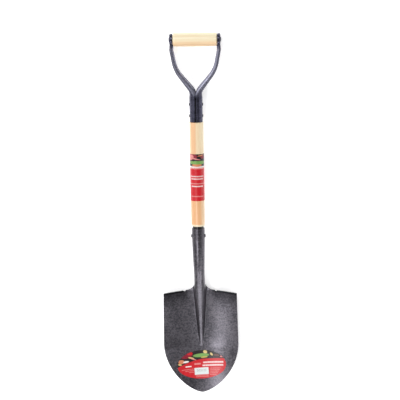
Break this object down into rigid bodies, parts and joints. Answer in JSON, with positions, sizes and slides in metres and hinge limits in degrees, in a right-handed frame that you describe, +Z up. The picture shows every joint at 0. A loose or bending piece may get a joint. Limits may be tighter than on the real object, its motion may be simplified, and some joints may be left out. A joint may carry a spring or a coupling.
{
  "type": "round-point D-handle shovel",
  "caption": "Round-point digging shovel with an open-back pressed steel blade, wooden shaft and steel-armed D-handle with a wooden cross grip.",
  "frame": {"origin": "centre of the bounding box's bottom, on the ground that the tool lies on, face up", "axes": "+Y along the tool towards the grip, +Z up from the ground on the blade's working face, +X across the tool"},
  "size_m": [0.2028, 0.9956, 0.0726],
  "materials": {
    "blade_steel": "textured satin black-grey paint",
    "yoke_steel": "semi-gloss black paint",
    "rivet_steel": "painted over, worn bright on the crown",
    "ash_wood": "clear lacquer",
    "label_paper": "glossy printed film"
  },
  "bodies": {
    "root": {"blade": "blade_steel", "shaft": "ash_wood", "socket_rivet": "rivet_steel", "yoke": "yoke_steel", "yoke_rivet_upper": "rivet_steel", "yoke_rivet_lower": "rivet_steel", "grip": "ash_wood", "grip_rivet": "rivet_steel", "shaft_label": "label_paper", "blade_label": "label_paper"}
  },
  "joints": []
}
